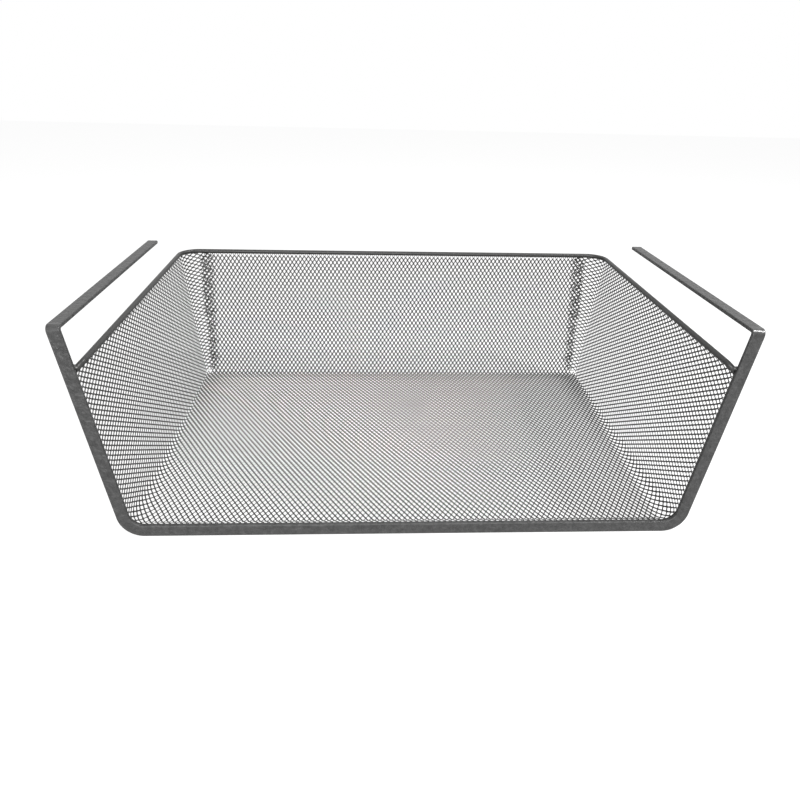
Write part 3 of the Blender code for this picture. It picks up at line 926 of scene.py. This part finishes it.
# %% Faces between knots and rings
def strand_faces(inside, knot_of, knots):
    """Quads and triangles of the upper side, the lower side, the rings' walls and open edges.

    Points are numbered upper knots, lower knots, upper rings, lower rings. A strand is closed
    by an edge only where the piece has no opening on its other side.
    """
    tile_i, tile_j = i_grid[inside], j_grid[inside]
    count = len(tile_i)
    west, south, east, north = knot_of.T
    ring = 2 * knots + np.arange(count * 8).reshape(count, 8)
    a, b, c, d, e, f, g, h = ring.T  # from the left side's lower end round by the low tip
    strands = [(west, south, b, a), (south, east, d, c), (east, north, f, e), (north, west, h, g)]
    bonds = [(south, c, b), (east, e, d), (north, g, f), (west, a, h)]
    upper_quads = np.concatenate([np.stack(quad, axis=1) for quad in strands])
    upper_tris = np.concatenate([np.stack(tri, axis=1) for tri in bonds])

    def below(faces):
        return np.where(faces < 2 * knots, faces + knots, faces + count * 8)

    after = np.roll(ring, -1, axis=1)
    walls = np.stack([ring, after, below(after), below(ring)], axis=-1).reshape(-1, 4)
    edges = []
    for start, end, di, dj in (
        (west, south, -1, -1),
        (south, east, 1, -1),
        (east, north, 1, 1),
        (north, west, -1, 1),
    ):
        is_open = ~inside[tile_i + half_columns + di, tile_j + dj]
        p, q = start[is_open], end[is_open]
        edges.append(np.stack([q, p, below(p), below(q)], axis=1))
    quads = np.concatenate([upper_quads, below(upper_quads)[:, ::-1], walls, *edges])
    return [quads, np.concatenate([upper_tris, below(upper_tris)[:, ::-1]])]


# %% The strands of one piece
def strands_of(inside, surface, width, rise):
    """Points and faces of the strands round each opening, closed on every side.

    Upper and lower points lie half the sheet's thickness to either side of it. Beyond that, a
    ring's left half stands up by the rise and its right half hangs down by it.
    """
    knot_u, knot_v, knot_of = shared_knots(inside)
    ring_u, ring_v = blunt_rings(inside, width)
    ring_h = np.broadcast_to(np.array([1, 1, -1, -1, -1, -1, 1, 1]) * rise, ring_u.shape)
    knots = len(knot_u)
    half = SHEET_THICKNESS / 2
    points = np.concatenate(
        [
            on_sheet(surface, knot_u, knot_v, np.full(knots, half)),
            on_sheet(surface, knot_u, knot_v, np.full(knots, -half)),
            on_sheet(surface, ring_u, ring_v, ring_h + half).reshape(-1, 3),
            on_sheet(surface, ring_u, ring_v, ring_h - half).reshape(-1, 3),
        ]
    )
    return points, strand_faces(inside, knot_of, knots)


# %% Build the mesh pieces
for name, (inside, node, surface, width, rise) in mesh_cuts.items():
    points, faces = strands_of(inside, surface, width, rise)
    mesh_piece = add_piece(name, points, faces, mesh_paint, smooth=False)
    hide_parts(node)
    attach(mesh_piece, "root")

# %% [markdown]
# ## Floor, light and camera
#
# The basket stands on a plain pale floor that runs on into a white background. The floor shows
# the camera a near-white of its own and adds a thin shadow. Soft lamps above and in front light
# the basket as in a light tent, and a small one at the right draws the thin highlights. Little
# light comes from below, so that undersides stay dark.


# %% Floor
FLOOR_REACH = 3  # metres to every side
FLOOR_LEVEL = -0.0002  # a little below the basket, so that the two never share a plane


def backdrop_rays(tree):
    """1 for rays that see the background: camera, glossy or transmission rays."""
    rays = add_node(tree, "ShaderNodeLightPath")
    first = add_node(
        tree,
        "ShaderNodeMath",
        {0: rays.outputs["Is Camera Ray"], 1: rays.outputs["Is Glossy Ray"]},
        operation="MAXIMUM",
    )
    both = add_node(
        tree,
        "ShaderNodeMath",
        {0: first.outputs[0], 1: rays.outputs["Is Transmission Ray"]},
        operation="MAXIMUM",
    )
    return both.outputs[0]


floor_paper = bpy.data.materials.new("pale_floor_paper")
floor_paper.use_nodes = True
tree = floor_paper.node_tree
tree.nodes.remove(tree.nodes["Principled BSDF"])
seen = backdrop_rays(tree)
glow = add_node(tree, "ShaderNodeEmission", {"Color": linear("#ffffff"), "Strength": 0.93})
matt = add_node(tree, "ShaderNodeBsdfDiffuse", {"Color": linear("#8f8f8f")})
bright = add_node(tree, "ShaderNodeAddShader", {0: glow.outputs[0], 1: matt.outputs[0]})
dim = add_node(tree, "ShaderNodeBsdfDiffuse", {"Color": linear("#404040")})
floor_mix = add_node(
    tree, "ShaderNodeMixShader", {0: seen, 1: dim.outputs[0], 2: bright.outputs[0]}
)
clear = add_node(tree, "ShaderNodeBsdfTransparent")  # seen from below, the floor is clear
sides = add_node(tree, "ShaderNodeNewGeometry")
one_sided = add_node(
    tree,
    "ShaderNodeMixShader",
    {0: sides.outputs["Backfacing"], 1: floor_mix.outputs[0], 2: clear.outputs[0]},
)
tree.links.new(one_sided.outputs[0], tree.nodes["Material Output"].inputs["Surface"])

floor_mesh = bpy.data.meshes.new("pale_floor")
ways_out = [(-1, -1), (1, -1), (1, 1), (-1, 1)]
corners = [(x * FLOOR_REACH, y * FLOOR_REACH, FLOOR_LEVEL) for x, y in ways_out]
floor_mesh.from_pydata(corners, [], [(0, 1, 2, 3)])
floor_mesh.materials.append(floor_paper)
pale_floor = bpy.data.objects.new("pale_floor", floor_mesh)
bpy.context.scene.collection.objects.link(pale_floor)

# %% World
world = bpy.data.worlds.new("white_tent")
bpy.context.scene.world = world
world.use_nodes = True
tree = world.node_tree
# The soft one lights the basket, and the white one is what the camera and reflections see.
soft = add_node(tree, "ShaderNodeBackground", {"Color": linear("#ffffff"), "Strength": 0.12})
white = add_node(tree, "ShaderNodeBackground", {"Color": linear("#ffffff"), "Strength": 1.0})
mix = add_node(
    tree,
    "ShaderNodeMixShader",
    {0: backdrop_rays(tree), 1: soft.outputs[0], 2: white.outputs[0]},
)
tree.links.new(mix.outputs[0], tree.nodes["World Output"].inputs["Surface"])


# %% Lamps
def soft_lamp(name, place, aim, size, power):
    """A square area lamp at a place, turned to look at a point, in metres and watts."""
    lamp = bpy.data.lights.new(name, "AREA")
    lamp.shape = "SQUARE"
    lamp.size = size
    lamp.energy = power
    holder = bpy.data.objects.new(name, lamp)
    turned = (Vector(aim) - Vector(place)).to_track_quat("-Z", "Y").to_matrix().to_4x4()
    holder.matrix_world = Matrix.Translation(place) @ turned
    bpy.context.scene.collection.objects.link(holder)
    print(name, size, "m wide", power, "watts")


soft_lamp("lamp_above", (0.1, 0.2, 1.4), (0.0, 0.0, 0.05), 0.9, 2.0)
soft_lamp("lamp_front", (-0.2, -1.3, 0.60), (0.0, 0.0, 0.06), 1.0, 16.5)
soft_lamp("lamp_for_highlights", (0.83, -0.31, 1.15), (0.2, -0.13, 0.14), 0.10, 14.0)

# %% [markdown]
# The camera stands about 37 cm in front of the basket and 16 cm above its rim, and looks down
# into the tray through a slightly wide lens. Its place, its turn and its lens were worked out
# together from twelve points of the frame, the rim and the floor in the photograph.

# %% Camera
lens = bpy.data.cameras.new("photo_camera")
lens.lens = 30.4635  # millimetres, as the next line
lens.sensor_width = 36.0
lens.clip_start = 0.01
camera = bpy.data.objects.new("photo_camera", lens)
turn = Euler([math.radians(angle) for angle in (63.6086, -1.4077, -2.7460)], "XYZ")
camera.matrix_world = Matrix.Translation((-0.03004, -0.49917, 0.28168)) @ turn.to_matrix().to_4x4()
bpy.context.scene.collection.objects.link(camera)
bpy.context.scene.camera = camera
print("the lens takes in", round(math.degrees(lens.angle), 1), "degrees")

# %% Plain colours, and the end
bpy.context.scene.view_settings.view_transform = "Standard"
